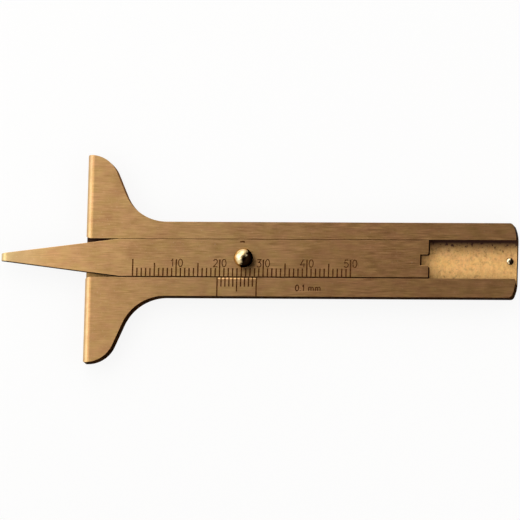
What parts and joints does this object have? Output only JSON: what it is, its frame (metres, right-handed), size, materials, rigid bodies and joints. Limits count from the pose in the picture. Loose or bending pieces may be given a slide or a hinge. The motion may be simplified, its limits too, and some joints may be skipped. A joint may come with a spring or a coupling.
{
  "type": "tire tread depth gauge",
  "caption": "T-shaped brass depth gauge: a pointed blade with a millimetre scale slides in the body's dovetail groove beside a vernier and is pushed by a ball knob.",
  "frame": {"origin": "on the measuring face, half way across the bar, in the plane of the flat back", "axes": "+X along the bar from the measuring face to the tail, +Y across the bar to the plain side, +Z out of the scale side"},
  "size_m": [0.1182, 0.0474, 0.008],
  "materials": {
    "body_brass": "brushed lengthwise",
    "blade_brass": "brushed lengthwise",
    "knob_brass": "turned and polished",
    "pin_brass": "polished"
  },
  "bodies": {
    "frame": {"body": "body_brass", "stop_pin": "pin_brass"},
    "slide": {"blade": "blade_brass", "knob": "knob_brass"}
  },
  "joints": [
    {"name": "blade_slide", "type": "slide", "parent": "frame", "child": "slide", "axis": [-1, 0, 0], "range_m": [-0.0195, 0.0305]}
  ]
}
